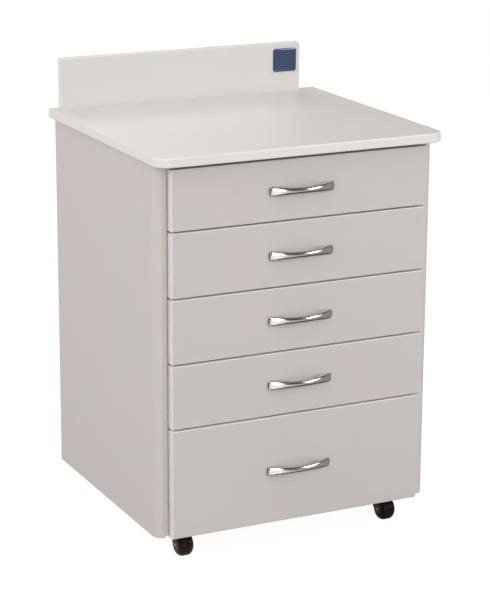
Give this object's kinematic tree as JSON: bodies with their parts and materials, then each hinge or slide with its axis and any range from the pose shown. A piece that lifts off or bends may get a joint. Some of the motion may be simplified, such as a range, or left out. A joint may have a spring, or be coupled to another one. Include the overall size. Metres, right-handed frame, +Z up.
{
  "type": "mobile drawer cabinet",
  "caption": "Mobile dental-room cabinet: full-extension drawers with bow handles, laminate worktop with rear upstand, twin-wheel swivel casters.",
  "frame": {"origin": "on the floor, under the centre of the whole object's box, drawers shut", "axes": "+Z up, +X to the right of someone facing the drawers, drawers open towards -Y"},
  "size_m": [0.513, 0.468, 0.7675],
  "materials": {
    "body_laminate": "satin melamine laminate, warm light grey",
    "front_laminate": "satin laminate, warm light grey",
    "top_laminate": "satin laminate with matching edge band, light grey",
    "box_board": "matt white melamine board",
    "back_board": "thin painted fibreboard",
    "batten_board": "raw fibreboard, brown",
    "slide_steel": "zinc plated sheet steel",
    "screw_zinc": "zinc plated",
    "handle_chrome": "polished nickel-chrome",
    "caster_plastic": "black moulded nylon",
    "wheel_plastic": "black moulded nylon, slightly glossy",
    "badge_blue": "domed resin, navy"
  },
  "bodies": {
    "cabinet": {"back_panel": "back_board", "badge_plate": "badge_blue", "bottom_panel": "body_laminate", "cabinet_fasteners": "screw_zinc", "cabinet_slides": "slide_steel", "caster_plates": "slide_steel", "caster_screws": "screw_zinc", "left_side_panel": "body_laminate", "right_side_panel": "body_laminate", "slide_battens": "batten_board", "top_rails": "body_laminate", "upstand": "top_laminate", "worktop": "top_laminate"},
    "drawer_1": {"drawer_1_base": "box_board", "drawer_1_box": "box_board", "drawer_1_front": "front_laminate", "drawer_1_handle": "handle_chrome", "drawer_1_screws": "screw_zinc", "drawer_1_slides": "slide_steel"},
    "mid_slide_1": {"mid_slides_1": "slide_steel"},
    "drawer_2": {"drawer_2_base": "box_board", "drawer_2_box": "box_board", "drawer_2_front": "front_laminate", "drawer_2_handle": "handle_chrome", "drawer_2_screws": "screw_zinc", "drawer_2_slides": "slide_steel"},
    "mid_slide_2": {"mid_slides_2": "slide_steel"},
    "drawer_3": {"drawer_3_base": "box_board", "drawer_3_box": "box_board", "drawer_3_front": "front_laminate", "drawer_3_handle": "handle_chrome", "drawer_3_screws": "screw_zinc", "drawer_3_slides": "slide_steel"},
    "mid_slide_3": {"mid_slides_3": "slide_steel"},
    "drawer_4": {"drawer_4_base": "box_board", "drawer_4_box": "box_board", "drawer_4_front": "front_laminate", "drawer_4_handle": "handle_chrome", "drawer_4_screws": "screw_zinc", "drawer_4_slides": "slide_steel"},
    "mid_slide_4": {"mid_slides_4": "slide_steel"},
    "drawer_5": {"drawer_5_base": "box_board", "drawer_5_box": "box_board", "drawer_5_front": "front_laminate", "drawer_5_handle": "handle_chrome", "drawer_5_screws": "screw_zinc", "drawer_5_slides": "slide_steel"},
    "mid_slide_5": {"mid_slides_5": "slide_steel"},
    "caster_fl": {"caster_fl_housing": "caster_plastic"},
    "caster_fl_wheel_l": {"caster_fl_wheel_l": "wheel_plastic"},
    "caster_fl_wheel_r": {"caster_fl_wheel_r": "wheel_plastic"},
    "caster_fr": {"caster_fr_housing": "caster_plastic"},
    "caster_fr_wheel_l": {"caster_fr_wheel_l": "wheel_plastic"},
    "caster_fr_wheel_r": {"caster_fr_wheel_r": "wheel_plastic"},
    "caster_rl": {"caster_rl_housing": "caster_plastic"},
    "caster_rl_wheel_l": {"caster_rl_wheel_l": "wheel_plastic"},
    "caster_rl_wheel_r": {"caster_rl_wheel_r": "wheel_plastic"},
    "caster_rr": {"caster_rr_housing": "caster_plastic"},
    "caster_rr_wheel_l": {"caster_rr_wheel_l": "wheel_plastic"},
    "caster_rr_wheel_r": {"caster_rr_wheel_r": "wheel_plastic"}
  },
  "joints": [
    {"name": "drawer_1_slide", "type": "slide", "parent": "cabinet", "child": "drawer_1", "axis": [0, -1, 0], "range_m": [0, 0.385]},
    {"name": "mid_slide_1_slide", "type": "slide", "parent": "cabinet", "child": "mid_slide_1", "axis": [0, -1, 0], "range_m": [0, 0.1925]},
    {"name": "drawer_2_slide", "type": "slide", "parent": "cabinet", "child": "drawer_2", "axis": [0, -1, 0], "range_m": [0, 0.385]},
    {"name": "mid_slide_2_slide", "type": "slide", "parent": "cabinet", "child": "mid_slide_2", "axis": [0, -1, 0], "range_m": [0, 0.1925]},
    {"name": "drawer_3_slide", "type": "slide", "parent": "cabinet", "child": "drawer_3", "axis": [0, -1, 0], "range_m": [0, 0.385]},
    {"name": "mid_slide_3_slide", "type": "slide", "parent": "cabinet", "child": "mid_slide_3", "axis": [0, -1, 0], "range_m": [0, 0.1925]},
    {"name": "drawer_4_slide", "type": "slide", "parent": "cabinet", "child": "drawer_4", "axis": [0, -1, 0], "range_m": [0, 0.385]},
    {"name": "mid_slide_4_slide", "type": "slide", "parent": "cabinet", "child": "mid_slide_4", "axis": [0, -1, 0], "range_m": [0, 0.1925]},
    {"name": "drawer_5_slide", "type": "slide", "parent": "cabinet", "child": "drawer_5", "axis": [0, -1, 0], "range_m": [0, 0.385]},
    {"name": "mid_slide_5_slide", "type": "slide", "parent": "cabinet", "child": "mid_slide_5", "axis": [0, -1, 0], "range_m": [0, 0.1925]},
    {"name": "caster_fl_swivel", "type": "hinge", "parent": "cabinet", "child": "caster_fl", "pos_m": [-0.19, -0.157, 0.044], "axis": [0, 0, 1], "continuous": true},
    {"name": "caster_fl_wheel_l_spin", "type": "hinge", "parent": "caster_fl", "child": "caster_fl_wheel_l", "pos_m": [-0.19, -0.174, 0.02], "axis": [1, 0, 0], "continuous": true},
    {"name": "caster_fl_wheel_r_spin", "type": "hinge", "parent": "caster_fl", "child": "caster_fl_wheel_r", "pos_m": [-0.19, -0.174, 0.02], "axis": [1, 0, 0], "continuous": true},
    {"name": "caster_fr_swivel", "type": "hinge", "parent": "cabinet", "child": "caster_fr", "pos_m": [0.19, -0.157, 0.044], "axis": [0, 0, 1], "continuous": true},
    {"name": "caster_fr_wheel_l_spin", "type": "hinge", "parent": "caster_fr", "child": "caster_fr_wheel_l", "pos_m": [0.19, -0.174, 0.02], "axis": [1, 0, 0], "continuous": true},
    {"name": "caster_fr_wheel_r_spin", "type": "hinge", "parent": "caster_fr", "child": "caster_fr_wheel_r", "pos_m": [0.19, -0.174, 0.02], "axis": [1, 0, 0], "continuous": true},
    {"name": "caster_rl_swivel", "type": "hinge", "parent": "cabinet", "child": "caster_rl", "pos_m": [-0.19, 0.181, 0.044], "axis": [0, 0, 1], "continuous": true},
    {"name": "caster_rl_wheel_l_spin", "type": "hinge", "parent": "caster_rl", "child": "caster_rl_wheel_l", "pos_m": [-0.19, 0.164, 0.02], "axis": [1, 0, 0], "continuous": true},
    {"name": "caster_rl_wheel_r_spin", "type": "hinge", "parent": "caster_rl", "child": "caster_rl_wheel_r", "pos_m": [-0.19, 0.164, 0.02], "axis": [1, 0, 0], "continuous": true},
    {"name": "caster_rr_swivel", "type": "hinge", "parent": "cabinet", "child": "caster_rr", "pos_m": [0.19, 0.181, 0.044], "axis": [0, 0, 1], "continuous": true},
    {"name": "caster_rr_wheel_l_spin", "type": "hinge", "parent": "caster_rr", "child": "caster_rr_wheel_l", "pos_m": [0.19, 0.164, 0.02], "axis": [1, 0, 0], "continuous": true},
    {"name": "caster_rr_wheel_r_spin", "type": "hinge", "parent": "caster_rr", "child": "caster_rr_wheel_r", "pos_m": [0.19, 0.164, 0.02], "axis": [1, 0, 0], "continuous": true}
  ],
  "couplings": [
    {"joint": "mid_slide_1_slide", "follows": "drawer_1_slide", "ratio": 0.5},
    {"joint": "mid_slide_2_slide", "follows": "drawer_2_slide", "ratio": 0.5},
    {"joint": "mid_slide_3_slide", "follows": "drawer_3_slide", "ratio": 0.5},
    {"joint": "mid_slide_4_slide", "follows": "drawer_4_slide", "ratio": 0.5},
    {"joint": "mid_slide_5_slide", "follows": "drawer_5_slide", "ratio": 0.5}
  ]
}
